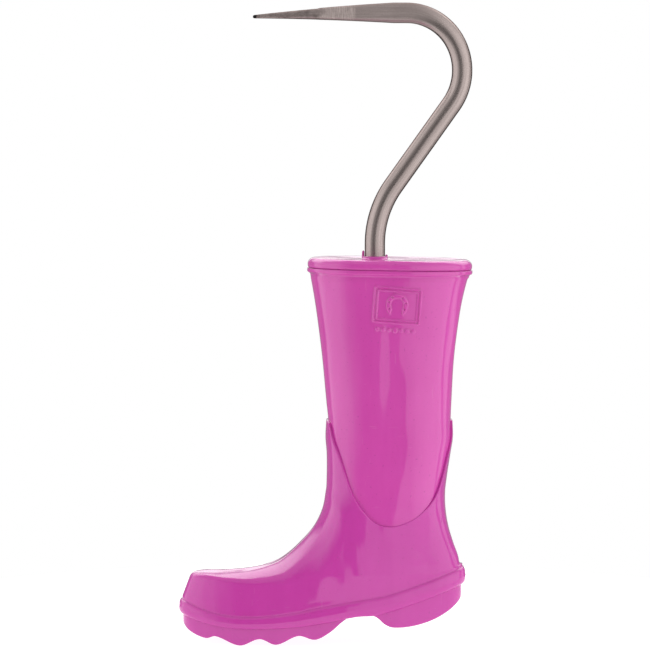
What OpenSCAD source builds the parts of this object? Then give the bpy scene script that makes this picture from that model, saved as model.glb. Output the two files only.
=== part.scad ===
// Hoof pick: a bent steel bar in a hollow plastic handle shaped like a Wellington boot.
// Millimetres. +Z is up along the boot's leg, the toe points to -X, and the boot is symmetric about Y = 0.
// The origin is under the middle of the whole tool, at the height of its lowest sole lug.

/* [Steel bar] */
// Diameter of the round bar
bar_d = 5; // [4:0.5:6]
// Distance of the bar's axis behind the origin
bar_x = 12.25; // [10:0.25:16]
// Height at which the bar starts to bend backward
bend_z = 98; // [96:0.2:102]
// Angle of the slanted shank from vertical
lean = 35.4; // [25:0.2:45]
// Centreline radius of the first bend
lean_r = 24.5; // [15:0.5:30]
// Length of the straight slanted shank
shank_len = 24.4; // [15:0.2:35]
// Centreline radius of the hook's back
back_r = 14.5; // [12:0.5:20]
// Angle turned by the hook's back
back_turn = 67; // [60:1:80]
// Centreline radius of the hook's top
top_r = 13.5; // [12:0.5:20]
// Distance of the tip in front of the origin
tip_x = 17.6; // [10:0.2:30]
// Thickness of the tip
tip_t = 0.9; // [0.6:0.1:2]
// Width of the tip
tip_w = 3.4; // [2:0.2:5]
// Largest width of the forged pick
pick_w = 5.6; // [5:0.2:7]
// Fall of the pick's middle from the bar to the tip
pick_drop = 0.9; // [0:0.1:2]
// Depth of the tang in the handle
tang_depth = 45; // [30:1:55]

/* [Cuff] */
// Length of the cuff from front to back
cuff_len = 40.4; // [36:0.2:44]
// Depth of the cuff from side to side
cuff_w = 30.4; // [26:0.2:34]
// Height of the cap's flat top
cuff_z = 94.4; // [92:0.2:96]
// Height of the cap's rim above the leg's flange
rim_h = 3; // [2:0.2:4]
// Slope of the cuff toward the heel
cuff_tilt = 0.9; // [0:0.1:2]

/* [Boot] */
// Length of the foot without its welt
foot_len = 69.2; // [66:0.2:72]
// Wall thickness of the plastic shells
wall = 2.2; // [1.8:0.1:2.6]
// Height of the foot overlay over the leg
overlay = 0.45; // [0.3:0.05:0.8]
// Bulge of the welt
welt_out = 0.9; // [0.5:0.1:1.2]
// Height of the bottom of the overlay's scooped edge
scoop_low = 29.2; // [26:0.2:34]
// Height of the tips of the overlay's scooped edge
scoop_tip = 54.5; // [50:0.5:60]
// Inset of the sole and heel under the welt
sole_inset = 0.2; // [0.1:0.1:0.8]
// Height of the raised badge
badge_h = 0.3; // [0.1:0.1:0.5]

/* [Inside] */
// Diameter of the core's socket tube
core_d = 11; // [9:0.5:13]
// Diameter of the cross pin
pin_d = 2; // [1.5:0.1:2.5]
// Height of the cross pin
pin_z = 60; // [56:1:70]
// Clearance between plastic pieces
gap = 0.1; // [0.05:0.01:0.15]

/* [Hidden] */

pink = [0.81, 0.30, 0.66];
steel = [0.62, 0.58, 0.57];
ring_n = 48; // points round each boot section
bar_fn = 64;
pick_n = 32; // points round each section of the pick
joint_lap = 0.2; // lap of each straight stretch of the bar into its neighbours
bend_thinning = 0.03;
top_flat = 3.2; // round stretch between the last bend and the pick
eps = 0.01;

// Heel end, toe end and middle of the foot's wall
heel_x = 33.9;
toe_x = heel_x - foot_len;
leg_mid_x = 15.95;

// Badge on the leg's side: middle, turn and size
badge_x = 17.4;
badge_z = 83.5;
badge_turn = 4.2;
badge_len = 11.5;
badge_w = 8.8;

// Hidden lower end of the leg inside the ankle, and the socket the cap plugs into
leg_low = 22;
leg_lap = 1.5; // how far the hidden end stands inside the leg's outer surface
socket_z = 84;

// End of the last bend and length of the pick
hook_end_x = bar_x + lean_r * (1 - cos(lean)) + shank_len * sin(lean)
    + back_r * (cos(back_turn - lean) - cos(lean)) - top_r * cos(back_turn - lean);
pick_len = hook_end_x - top_flat + tip_x;

// Half width of the foot along its length
FOOT_HALF_W = [[-36, 10.2], [-28, 11], [-17, 11.7], [-4, 12], [7, 12], [16, 11.5], [26, 10.7], [34, 9.8]];
// Underside of the welt along the foot
WELT_Z = [[-35.5, 6.9], [-30, 5.3], [-25, 4.4], [-19, 4.2], [-9.5, 4.6], [0, 5.8], [4, 6.7], [8, 7.4],
          [12, 7.6], [16, 8.5], [24, 10.9], [34, 14.2]];
// Height of the welt band along the foot
WELT_H = [[-35.5, 3.6], [-20, 2.9], [-8, 3.5], [0, 4.1], [4, 3.9], [8, 3.9], [12, 4.3], [16, 4.2], [34, 4.3]];
// Top of the vamp along the foot, from the toe to the ankle
VAMP_Z = [[-36, 16.2], [-31, 16.7], [-24, 16.6], [-17, 17.1], [-12, 18.6], [-8, 19.8], [-3, 21], [34, 21]];
// Front and back of the ankle by height: height, front x, back x
ANKLE = [[14.5, -20, 33.4], [17.8, -13.6, 33.3], [20.8, -8.5, 32.9], [24.2, -5.2, 31.7], [28.2, -2.6, 30.5],
         [32.2, -0.7, 29.8], [36.5, 0.1, 29.6], [40.5, 0.4, 30], [46.5, 0.4, 30.9], [50.5, 0.1, 31.5],
         [54.5, 0.3, 31.4]];
// Half width of the ankle and the leg by height
ANKLE_HALF_W = [[14.5, 10.4], [22, 10.9], [32, 11.4], [42, 12.0], [54.5, 12.9]];

// Scooped edge of the overlay: share of the boot's half length, front to back, and share of the rise
SCOOP = [[-1.04, 1], [-0.88, 0.81], [-0.7, 0.44], [-0.57, 0.26], [-0.38, 0.13], [-0.18, 0.036], [0.03, 0],
         [0.29, 0.043], [0.51, 0.14], [0.7, 0.28], [0.82, 0.45], [0.93, 0.7], [1.04, 1]];

// ---- curves and lofts ----

// Smooth curve through knots whose first number rises
function knot_before(k, x) = min(len(k) - 2, max(0, len([for (p = k) if (p[0] <= x) 1]) - 1));
function slope(k, i) =
    let (a = max(i - 1, 0), b = min(i + 1, len(k) - 1)) (k[b] - k[a]) / (k[b][0] - k[a][0]);
function curve(k, x, col = 1) =
    let (i = knot_before(k, x), h = k[i + 1][0] - k[i][0],
         t = (min(max(x, k[0][0]), k[len(k) - 1][0]) - k[i][0]) / h,
         m0 = slope(k, i)[col] * h, m1 = slope(k, i + 1)[col] * h)
    (2 * t^3 - 3 * t^2 + 1) * k[i][col] + (t^3 - 2 * t^2 + t) * m0
    + (3 * t^2 - 2 * t^3) * k[i + 1][col] + (t^3 - t^2) * m1;

// Signed power, which squares off a circle
function squared(v, n) = sign(v) * pow(abs(v), 2 / n);

// Horizontal oval ring between two ends, n = 2 for an ellipse and more for squarer
function oval(front, back, half_w, n, z) =
    [for (i = [0 : ring_n - 1]) let (a = 360 * i / ring_n)
        [(front + back) / 2 + (back - front) / 2 * squared(cos(a), n), half_w * squared(sin(a), n), z]];

// Foot-shaped ring, grown by out, whose height follows a curve plus dz
function foot_point(a, out) =
    let (x = (heel_x + toe_x) / 2 + (foot_len / 2 + out) * squared(cos(a), 2.5))
    [x, (curve(FOOT_HALF_W, x) + out) * squared(sin(a), 2.5)];
function foot_ring(out, zs, dz, share = 0) =
    [for (i = [0 : ring_n - 1]) let (p = foot_point(360 * i / ring_n, out))
        [p[0], p[1], curve(zs, p[0]) + dz + share * curve(WELT_H, p[0])]];

// Solid through rings that are symmetric about Y = 0, listed from the bottom up
module loft(rings) {
    n = len(rings[0]);
    top = n * (len(rings) - 1);
    sides = [for (k = [0 : len(rings) - 2], i = [0 : n - 1]) let (j = (i + 1) % n)
        [(k + 1) * n + i, (k + 1) * n + j, k * n + j, k * n + i]];
    bottom_cap = [for (i = [1 : n / 2 - 2]) [i, i + 1, n - i - 1, n - i]];
    top_cap = [for (f = bottom_cap) [f[3] + top, f[2] + top, f[1] + top, f[0] + top]];
    ends = [[0, 1, n - 1], [n / 2 - 1, n / 2, n / 2 + 1]];
    top_ends = [for (f = ends) [f[2] + top, f[1] + top, f[0] + top]];
    polyhedron([for (r = rings) each r], concat(sides, bottom_cap, top_cap, ends, top_ends), convexity = 6);
}

// ---- boot volumes ----

// Front and back of the leg above the overlay, where t runs from the overlay's tips to the flange
function leg_t(z) = (z - scoop_tip) / (cuff_z - rim_h - 2 - scoop_tip);
function leg_front(z) =
    z < scoop_tip ? curve(ANKLE, z) + overlay : 0.75 - 3.1 * leg_t(z) - 1.1 * leg_t(z)^3;
function leg_back(z) =
    z < scoop_tip ? curve(ANKLE, z, 2) - overlay : 30.9 + 1.4 * leg_t(z) + 2.7 * leg_t(z)^3;
function leg_half_w(z) =
    z < scoop_tip ? curve(ANKLE_HALF_W, z) - overlay : 12.45 + 2.0 * leg_t(z) + 0.25 * leg_t(z)^3;
function leg_ring(z, out) = oval(leg_front(z) - out, leg_back(z) + out, leg_half_w(z) + out, 2.6, z);

LEG_Z = [30, 36, 42, 48, 54.5, 60, 66, 72, 77, 82, 86, 90];

// Leg volume from the ankle to the flange, grown by out
module leg_body(out, low, high) {
    levels = [for (z = LEG_Z) if (z > low + 1 && z < high - 1) z];
    loft([for (z = concat([low], levels, [high])) leg_ring(z, out)]);
}

ANKLE_Z = [17.8, 19.2, 20.8, 22.5, 24.2, 26.2, 28.2, 30.2, 32.2, 34.5, 37.5, 40.5, 43.5, 46.5, 49.5, 52.5];

// Ankle volume with the instep, grown by out
module ankle_body(out, low, high) {
    levels = [for (z = ANKLE_Z) if (z > low + 0.5 && z < high - 0.5) z];
    loft([for (z = concat([low], levels, [high]))
        oval(curve(ANKLE, z) - out, curve(ANKLE, z, 2) + out, curve(ANKLE_HALF_W, z) + out, 2.7, z)]);
}

// Foot volume from the welt's underside to the vamp's top, grown by out
module foot_body(out, lift, lower) {
    loft([foot_ring(out, WELT_Z, lift), foot_ring(out, WELT_Z, 0.5, 1),
          foot_ring(out - 1.5, VAMP_Z, -lower)]);
}

// Welt band round the foot
module welt() {
    loft([foot_ring(welt_out * 0.2, WELT_Z, 0), foot_ring(welt_out * 0.75, WELT_Z, 0, 0.15),
          foot_ring(welt_out, WELT_Z, 0, 0.45), foot_ring(welt_out * 0.75, WELT_Z, 0, 0.75),
          foot_ring(0, WELT_Z, 0, 1.1)]);
}

// Everything below the overlay's scooped edge, as a slab through the boot
module below_scoop(drop) {
    half = (curve(ANKLE, scoop_tip, 2) - curve(ANKLE, scoop_tip)) / 2;
    mid = curve(ANKLE, scoop_tip) + half;
    edge = [for (i = [-14 : 14]) let (s = i / 14 * SCOOP[len(SCOOP) - 1][0])
        [mid + s * half, scoop_low + (scoop_tip - scoop_low) * curve(SCOOP, s) - drop]];
    rotate([90, 0, 0]) linear_extrude(60, center = true)
        polygon(concat([[-60, scoop_tip - drop], [-60, -10], [60, -10], [60, scoop_tip - drop]],
                       [for (i = [len(edge) - 1 : -1 : 0]) edge[i]]));
}

// Turns the cuff's pieces by the slope of the cuff, about the middle of its top
module tilt_cuff() {
    translate([leg_mid_x, 0, cuff_z]) rotate([0, cuff_tilt, 0])
        translate([-leg_mid_x, 0, -cuff_z]) children();
}

function cuff_ring(inset, drop) =
    let (half = cuff_len / 2 - inset)
    oval(leg_mid_x - half, leg_mid_x + half, cuff_w / 2 - inset, 2.6, cuff_z - drop);

// ---- hook ----

// Straight stretch of the bar, run a little into its neighbours; children are drawn at its end
module bar(length) {
    translate([0, 0, -joint_lap]) cylinder(d = bar_d, h = length + 2 * joint_lap, $fn = bar_fn);
    translate([0, 0, length]) children();
}

// Bent stretch of the bar, toward +X and drawn out a little thinner; children are drawn at its end
module bend(radius, angle) {
    translate([radius, 0, 0]) rotate([90, 0, 0]) rotate([0, 0, 180 - angle])
        rotate_extrude(angle = angle, $fn = 128)
            translate([radius, 0]) circle(d = bar_d - bend_thinning, $fn = bar_fn);
    translate([radius, 0, 0]) rotate([0, angle, 0]) translate([-radius, 0, 0]) children();
}

// One section of the forged pick: s runs from 0 at the round bar to 1 at the tip
function pick_section(s) =
    let (t = bar_d - bend_thinning + (tip_t - bar_d) * s,
         w = s < 0.5 ? bar_d + (pick_w - bar_d) * sin(180 * s) : tip_w + (pick_w - tip_w) * sin(180 * s),
         n = 2 + 2 * min(1, 3 * s))
    [for (i = [0 : pick_n - 1]) let (a = 360 * i / pick_n)
        [t / 2 * squared(cos(a), n) + pick_drop * s * s, (w - bend_thinning) / 2 * squared(sin(a), n),
         pick_len * s]];

module hook() {
    color(steel) difference() {
        translate([bar_x, 0, bend_z - tang_depth]) bar(tang_depth)
            bend(lean_r, lean) bar(shank_len)
            rotate([0, 0, 180]) bend(back_r, back_turn) bar(eps)
            bend(top_r, 90 + lean - back_turn) bar(top_flat)
            loft([for (k = [0 : 10]) pick_section(k / 10)]);
        cross_hole(pin_d);
    }
}

module cross_hole(d) {
    translate([bar_x, 0, pin_z]) rotate([90, 0, 0]) cylinder(d = d, h = 30, center = true, $fn = 32);
}

// ---- handle ----

module cuff_cap() {
    lip_h = 0.5;
    fin_w = 0.6;
    color(pink) difference() {
        union() {
            tilt_cuff() {
                loft([cuff_ring(0.6, rim_h), cuff_ring(0.15, rim_h - 0.4), cuff_ring(0.05, 1.5),
                      cuff_ring(0.35, 0.6), cuff_ring(0.9, 0.15), cuff_ring(1.6, 0)]);
                loft([cuff_ring(4, rim_h + 6), cuff_ring(wall + 1, rim_h - eps)]);
            }
            translate([bar_x, 0, cuff_z - 1]) cylinder(d = bar_d + 1.4, h = 1 + lip_h, $fn = bar_fn);
            translate([bar_x - bar_d / 2 - fin_w - 0.1, -0.2, cuff_z - 1]) cube([fin_w, 0.4, 1 + 1.9]);
            translate([bar_x + bar_d / 2 + 0.1, -0.2, cuff_z - 1]) cube([fin_w, 0.4, 1 + 0.9]);
        }
        translate([bar_x, 0, 0]) cylinder(d = bar_d + 0.06, h = 200, $fn = bar_fn);
        tilt_cuff() loft([cuff_ring(6, rim_h + 7), cuff_ring(5.5, rim_h - 0.6)]);
    }
}

// Line drawn along the inside of a rectangle with rounded corners
module frame_line(width, height, line) {
    corner = 0.5;
    size = [width - 2 * corner, height - 2 * corner];
    difference() {
        offset(corner) square(size, center = true);
        offset(corner - line) square(size, center = true);
    }
}

// Generic badge: a horseshoe in a plain double frame, over a row of studs
module badge_outline() {
    frame_line(badge_len, badge_w, 0.34);
    frame_line(badge_len - 1.5, badge_w - 1.5, 0.24);
    difference() {
        circle(r = 2.6, $fn = 48);
        circle(r = 1.6, $fn = 48);
        translate([0, -2.6]) square([2.2, 3], center = true);
    }
    for (k = [-3 : 3])
        translate([1.45 * k, -badge_w / 2 - 1.6]) circle(r = 0.5, $fn = 16);
}

module leg_shell() {
    flange_z = cuff_z - rim_h;
    color(pink) difference() {
        union() {
            difference() {
                leg_body(0, leg_low, flange_z - 0.7);
                difference() {
                    below_scoop(0);
                    leg_body(-leg_lap, leg_low - 1, scoop_tip + 6);
                }
            }
            tilt_cuff() loft([cuff_ring(0.8, rim_h + 0.9), cuff_ring(-0.1, rim_h + 0.6),
                              cuff_ring(-0.1, rim_h + 0.25), cuff_ring(0.4, rim_h + eps)]);
            intersection() {
                leg_body(badge_h, 70, 89);
                translate([badge_x, 0, badge_z]) rotate([90, badge_turn, 0]) linear_extrude(30)
                    badge_outline();
            }
        }
        leg_body(-wall - 0.4, 10, socket_z);
        tilt_cuff() loft([cuff_ring(4 - gap, rim_h + 6 + gap), cuff_ring(wall + 1 - gap, rim_h - eps)]);
        leg_body(-wall - 1.2, socket_z - 0.5, socket_z + 4);
    }
}

module foot_shell() {
    color(pink) difference() {
        union() {
            foot_body(0, 0, 0);
            welt();
            intersection() {
                ankle_body(0, 14.5, scoop_tip);
                below_scoop(gap);
            }
        }
        leg_body(gap - leg_lap, leg_low - gap, 60);
        foot_body(-wall, -1, wall);
        ankle_body(-wall, 14.5, 22.5);
    }
}

module bottom_plate() {
    color(pink) loft([foot_ring(-wall - gap, WELT_Z, eps), foot_ring(-wall - gap, WELT_Z, 1.5)]);
}

// Part of the foot's outline, raised to a slab, whose top follows the welt's underside
module sole_slab() {
    loft([foot_ring(-sole_inset, WELT_Z, -14), foot_ring(-sole_inset, WELT_Z, -eps)]);
}

module forepart_sole() {
    // Wavy line of the lugs from the toe to the arch: crests and troughs
    lugs = [[-36, 5.2], [-33.5, 2.9], [-29.3, 1.4], [-26.8, 2.0], [-20.9, 0], [-16, 1.7], [-11.9, 0.4],
            [-6.5, 2.6], [-2.4, 1.7], [1.2, 3.5], [4, 5.9], [4.5, 6.3]];
    line = [for (x = [-36 : 0.5 : 4.5]) [x, curve(lugs, x)]];
    color(pink) intersection() {
        sole_slab();
        rotate([90, 0, 0]) linear_extrude(40, center = true)
            polygon(concat(line, [[4.5, 20], [-36, 20]]));
    }
}

module heel_block() {
    // Underside of the heel from its breast to its back
    tread = [[12, 7.3], [13, 6.8], [14.5, 5.4], [16.5, 4.5], [21, 4.6], [26, 5.8], [30, 7.7], [33, 10]];
    line = [for (x = [12 : 0.5 : 33]) [x, curve(tread, x)]];
    color(pink) intersection() {
        sole_slab();
        rotate([90, 0, 0]) linear_extrude(40, center = true)
            polygon(concat(line, [[34.5, 11], [34.5, 30], [12, 30]]));
    }
}

module tang_core() {
    low = 44;
    high = socket_z - 0.6;
    rib = 1.8;
    color(pink) difference() {
        union() {
            translate([bar_x, 0, low]) cylinder(d = core_d, h = high - low, $fn = 64);
            intersection() {
                leg_body(-wall - 0.4 - gap, low, high);
                union() {
                    translate([-20, -rib / 2, low]) cube([80, rib, high - low]);
                    translate([bar_x - rib / 2, -30, low]) cube([rib, 60, high - low]);
                }
            }
        }
        translate([bar_x, 0, bend_z - tang_depth - 0.5]) cylinder(d = bar_d + 0.06, h = 60, $fn = bar_fn);
        cross_hole(pin_d + 0.04);
    }
}

module tang_pin() {
    color(steel) translate([bar_x, 0, pin_z]) rotate([90, 0, 0])
        cylinder(d = pin_d - 0.02, h = core_d, center = true, $fn = 32);
}

hook();
cuff_cap();
leg_shell();
foot_shell();
bottom_plate();
forepart_sole();
heel_block();
tang_core();
tang_pin();
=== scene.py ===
"""Looks of the hoof pick: a bent steel bar in a glossy plastic handle shaped like a Wellington boot.

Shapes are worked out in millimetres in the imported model's own frame: +Z up the leg, toe to -X, middle
plane at Y = 0. make_mesh() writes them in metres.
"""

import math

import bmesh
import bpy
import numpy as np
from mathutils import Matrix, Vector


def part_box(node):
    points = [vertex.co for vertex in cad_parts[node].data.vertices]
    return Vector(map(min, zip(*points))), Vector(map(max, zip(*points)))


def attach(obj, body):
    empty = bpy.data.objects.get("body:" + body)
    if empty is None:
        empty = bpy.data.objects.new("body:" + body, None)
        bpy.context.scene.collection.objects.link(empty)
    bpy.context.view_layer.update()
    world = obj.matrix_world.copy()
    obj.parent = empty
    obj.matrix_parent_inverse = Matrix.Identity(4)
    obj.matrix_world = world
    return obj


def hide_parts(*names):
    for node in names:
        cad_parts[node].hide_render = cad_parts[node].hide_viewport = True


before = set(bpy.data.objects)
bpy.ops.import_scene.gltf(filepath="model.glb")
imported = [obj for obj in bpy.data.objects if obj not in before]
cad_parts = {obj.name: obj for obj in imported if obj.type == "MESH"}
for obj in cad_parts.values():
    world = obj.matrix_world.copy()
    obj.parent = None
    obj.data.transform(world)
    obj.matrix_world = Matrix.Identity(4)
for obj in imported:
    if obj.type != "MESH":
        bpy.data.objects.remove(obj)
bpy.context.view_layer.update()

MM = 0.001


def box_mm(node):
    """Lowest and highest corner of a CAD node, in millimetres."""
    low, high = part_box(node)
    return np.array(low) / MM, np.array(high) / MM


PICK_TIP_X = box_mm("hook")[0][0]
FOOT_LOW, FOOT_HIGH = box_mm("foot_shell")

# ---- driving dimensions ----

# The bar: radius, x and length of its straight tang, height of the tang's top, and from there up the bend
# to the slant, the shank, the bend back, the bend over the top and the flat stretch before the pick
BAR_R = 2.5
BAR_X = 12.25
TANG_LEN = 45.0
BEND_Z = 98
LEAN, LEAN_R = math.radians(35.4), 24.5
SHANK_LEN = 24.4
BACK_TURN, BACK_R = math.radians(67), 14.5
TOP_R = 13.5
TOP_FLAT = 3.2
# The pick: thickness and width of its point, its greatest width, and how far the point drops
TIP_T, TIP_W, PICK_W, PICK_DROP = 0.9, 3.4, 5.6, 0.9
# Where the grinding marks across the pick begin and end
GRIND_FROM_X, GRIND_TO_X = 7.0, -1.6
# The cuff: length, width and height of its top, height of the cap's rim, and slope
CUFF_LEN, CUFF_W, CUFF_Z, RIM_H = 40.4, 30.4, 94.4, 3.0
CUFF_TILT = math.radians(0.9)
# Middle of the leg, and the plastic's thickness
LEG_MID = 15.95
WALL = 2.2
# How far the foot's overlay stands proud of the leg, and the height of its front and back tips
OVERLAY = 0.45
SCOOP_TIP = 54.5
# How far the welt stands out and the sole stands in
WELT_OUT = 0.9
SOLE_INSET = 0.2
TOE_X, HEEL_X = FOOT_LOW[0] + WELT_OUT, FOOT_HIGH[0] - WELT_OUT
# The arch between the sole and the heel
SOLE_END_X, HEEL_START_X = 5.2, 11.4
# The badge: place, turn, half size and relief
BADGE_X, BADGE_Z = 17.4, 83.5
BADGE_TURN = math.radians(4.2)
BADGE_HALF_X, BADGE_HALF_Z = 5.75, 4.4
BADGE_H = 0.3

# How square the horizontal ovals are: 2 is an ellipse
FOOT_POWER, ANKLE_POWER, LEG_POWER = 2.5, 2.7, 2.6
# Half width of the foot along its length
FOOT_HALF_W = np.array(
    [[-36, 10.2], [-28, 11.0], [-17, 11.7], [-4, 12.0], [7, 12.0], [16, 11.5], [26, 10.7], [34, 9.8]]
)
# Underside and height of the welt band along the foot
WELT_Z = np.array(
    [[-35.5, 6.9], [-30, 5.3], [-25, 4.4], [-19, 4.2], [-9.5, 4.6], [0, 5.8], [4, 6.7], [8, 7.4],
     [12, 7.6], [16, 8.5], [24, 10.9], [34, 14.2]]
)
WELT_H = np.array(
    [[-35.5, 3.6], [-20, 2.9], [-8, 3.5], [0, 4.1], [4, 3.9], [8, 3.9], [12, 4.3], [16, 4.2], [34, 4.3]]
)
# Front and back of the ankle by height, and its half width
ANKLE = np.array(
    [[14.5, -20, 33.4], [17.8, -13.6, 33.3], [20.8, -8.5, 32.9], [24.2, -5.2, 31.7], [28.2, -2.6, 30.5],
     [32.2, -0.7, 29.8], [36.5, 0.1, 29.6], [40.5, 0.4, 30], [46.5, 0.4, 30.9], [50.5, 0.1, 31.5],
     [54.5, 0.3, 31.4]]
)
ANKLE_HALF_W = np.array([[14.5, 10.4], [22, 10.9], [32, 11.4], [42, 12.0], [54.5, 12.9]])
# Middle line of the vamp, from in front of the toe to above the instep: x, z
VAMP_LINE = np.array(
    [[-46, 16.6], [-36, 16.6], [-31, 17.0], [-24, 17.2], [-17, 18.0], [-12.4, 19.4], [-9.5, 21.2],
     [-6.1, 24.3], [-2.9, 28.0], [-0.75, 32.3], [0.1, 36.5], [0.4, 40.5], [0.4, 46.5], [0.4, 60]]
)
# Drop of the vamp's edges below its middle, and width of the rounding there, by x + z along the vamp line
VAMP_CROWN = np.array(
    [[-19.4, 0.4], [-13, 1.5], [-7, 2.6], [0.4, 3.2], [6.6, 3.8], [11.5, 4.5], [18, 5.2], [25, 5.4],
     [34, 4.6]]
)
VAMP_ROUND = np.array(
    [[-19.4, 1.1], [-7, 1.1], [0.4, 1.1], [6.6, 1.4], [11.5, 1.9], [18, 2.4], [25, 2.4], [29, 2.0],
     [32.5, 1.0], [36.5, 0.3], [46, 0.3]]
)
# Half width of the vamp, and how late its crown falls off: 2 is a parabola
VAMP_HALF_W, VAMP_POWER = 11.5, 2.7
# Height of the crease between the foot's side and the vamp
CREASE_Z = np.array([[-36, 16.1], [-28, 15.1], [-20, 14.6], [-12, 15.2], [-4, 16.4]])
# Scooped edge of the overlay: place along the boot, from its back at -1 to its front at 1, and height
SCOOP = np.array(
    [[-1, 54.5], [-0.955, 47.5], [-0.904, 41.2], [-0.807, 36.6], [-0.608, 32.8], [-0.388, 30.4],
     [-0.13, 29.2], [0.1, 29.9], [0.305, 32.2], [0.527, 35.9], [0.69, 40.3], [0.87, 49.0],
     [0.957, 53.6], [1, 54.5]]
)
# Undersides of the sole and the heel along the foot
LUGS = np.array(
    [[-36, 5.2], [-33.5, 2.9], [-29.3, 1.4], [-26.8, 2.0], [-20.9, 0], [-16, 1.7], [-11.9, 0.4],
     [-6.5, 2.6], [-2.4, 1.7], [1.2, 3.5], [4, 5.9], [5.2, 6.8]]
)
TREAD = np.array(
    [[11.4, 7.5], [12, 7.4], [13, 6.8], [14.5, 5.4], [16.5, 4.5], [21, 4.6], [26, 5.8], [30, 7.7],
     [33, 10], [34.5, 12]]
)

# Rough lengths of half a ring round the foot, the leg and the cuff
FOOT_HALF_RING, LEG_HALF_RING, CUFF_HALF_RING = 91, 50, 56

# ---- curves ----


def curve(knots, x, col=1):
    """Smooth curve through knots whose first number rises, held level past its ends."""
    k = np.asarray(knots, float)
    x = np.clip(x, k[0, 0], k[-1, 0])
    a = np.maximum(np.arange(len(k)) - 1, 0)
    b = np.minimum(np.arange(len(k)) + 1, len(k) - 1)
    slope = (k[b, col] - k[a, col]) / (k[b, 0] - k[a, 0])
    i = np.clip(np.searchsorted(k[:, 0], x, side="right") - 1, 0, len(k) - 2)
    h = k[i + 1, 0] - k[i, 0]
    t = (x - k[i, 0]) / h
    return (
        (2 * t**3 - 3 * t**2 + 1) * k[i, col]
        + (t**3 - 2 * t**2 + t) * slope[i] * h
        + (3 * t**2 - 2 * t**3) * k[i + 1, col]
        + (t**3 - t**2) * slope[i + 1] * h
    )


def squared(v, n):
    """Signed power that squares off a circle."""
    return np.sign(v) * np.abs(v) ** (2 / n)


def smoothstep(low, high, x):
    t = np.clip((np.asarray(x, float) - low) / (high - low), 0, 1)
    return t * t * (3 - 2 * t)


def smooth_max(a, b, k):
    """The larger of two fields, with their meeting line rounded over k."""
    h = np.maximum(k - np.abs(a - b), 0) / k
    return np.maximum(a, b) + h * h * k / 4


def mix(a, b, t):
    return a + (b - a) * t


def round_end(t, start, span):
    """Falls from 1 to 0 along a quarter circle while t runs over a span from its start."""
    return math.sqrt(max(0.0, 1 - max(0.0, (t - start) / span) ** 2))


def resample(points, shares):
    """Points on a polyline at the given shares of its length, 0 to 1."""
    step = np.linalg.norm(np.diff(points, axis=0), axis=1)
    along = np.concatenate([[0], np.cumsum(step)]) / step.sum()
    return np.stack([np.interp(shares, along, points[:, c]) for c in range(points.shape[1])], axis=1)


def dense_line(knots, count=140):
    """A smooth polyline through 2D knots."""
    step = np.linalg.norm(np.diff(knots, axis=0), axis=1)
    t = np.concatenate([[0], np.cumsum(step)])
    u = np.linspace(0, t[-1], count)
    return np.stack([curve(np.column_stack([t, knots[:, c]]), u) for c in range(2)], axis=1)


def stations(length, count):
    """Shares of a half ring's length: close together near the parting line at both ends, even between."""
    fine = np.array([0.0, 0.1, 0.2, 0.35, 0.6, 1.0]) / length
    middle = np.linspace(fine[-1], 1 - fine[-1], count - 2 * (len(fine) - 1))
    return np.concatenate([fine[:-1], middle, 1 - fine[:-1][::-1]])


def half_oval(front, back, half_w, n, shares):
    """Half of a horizontal oval on the -Y side, from its back end to its front end.

    half_w is a number or a function of x."""
    a = np.linspace(0, math.pi, 2401)
    x = (front + back) / 2 + (back - front) / 2 * squared(np.cos(a), n)
    w = half_w(x) if callable(half_w) else half_w
    return resample(np.stack([x, -w * squared(np.sin(a), n)], axis=1), shares)


def closed(near, far):
    """A closed ring from two halves drawn on the -Y side: far is mirrored to the other side."""
    mirror = np.array([1, -1, 1])[: near.shape[1]]
    return np.concatenate([near, far[1:-1][::-1] * mirror])


def whole(half):
    """A closed ring from its half on the -Y side."""
    return closed(half, half)


def arc(centre, radii, start, end, count):
    """Points on an elliptic arc, angles in degrees."""
    a = np.radians(np.linspace(start, end, count))
    return [(centre[0] + radii[0] * math.cos(v), centre[1] + radii[1] * math.sin(v)) for v in a]


# ---- meshes ----


def make_mesh(name, points, faces):
    """A smooth mesh object from points in millimetres."""
    mesh = bpy.data.meshes.new(name)
    mesh.from_pydata((np.asarray(points) * MM).tolist(), [], faces)
    mesh.validate()
    shape = bmesh.new()
    shape.from_mesh(mesh)
    bmesh.ops.recalc_face_normals(shape, faces=shape.faces)
    shape.to_mesh(mesh)
    shape.free()
    mesh.shade_smooth()
    piece = bpy.data.objects.new(name, mesh)
    bpy.context.scene.collection.objects.link(piece)
    return piece


def ring_faces(rows, n, loop=False):
    """Quads between neighbouring rings of n points. loop joins the last ring to the first."""
    faces = []
    for k in range(rows if loop else rows - 1):
        a, b = k * n, ((k + 1) % rows) * n
        faces += [(a + i, b + i, b + (i + 1) % n, a + (i + 1) % n) for i in range(n)]
    return faces


def ring_tube(name, rings):
    """A closed skin whose last ring joins its first, through the inside of the piece."""
    return make_mesh(name, np.concatenate(rings), ring_faces(len(rings), len(rings[0]), loop=True))


def strip_cap(offset, n, flip=False):
    """Quads that close a ring symmetric about Y = 0, joining each point to its mirror image."""
    faces = []
    for i in range(n // 2):
        quad = [offset + i, offset + i + 1, offset + (n - i - 1) % n, offset + (n - i) % n]
        quad = [v for k, v in enumerate(quad) if v not in quad[:k]]
        if len(quad) > 2:
            faces.append(tuple(quad[::-1] if flip else quad))
    return faces


# ---- foot: its surface as a field ----

# Above this height the toe leans back, and above the welt the forefoot's sides lean in: mm for each mm
TOE_LEAN_Z, TOE_LEAN, SIDE_LEAN = 11, 0.38, 0.105
# Heights between which the foot's side wall turns into the ankle, and over which the vamp fades out
ANKLE_FROM_Z, ANKLE_TO_Z = 17, 32
VAMP_FADE_Z, VAMP_END_Z, VAMP_BACK_X = 38, 46, 14
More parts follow.
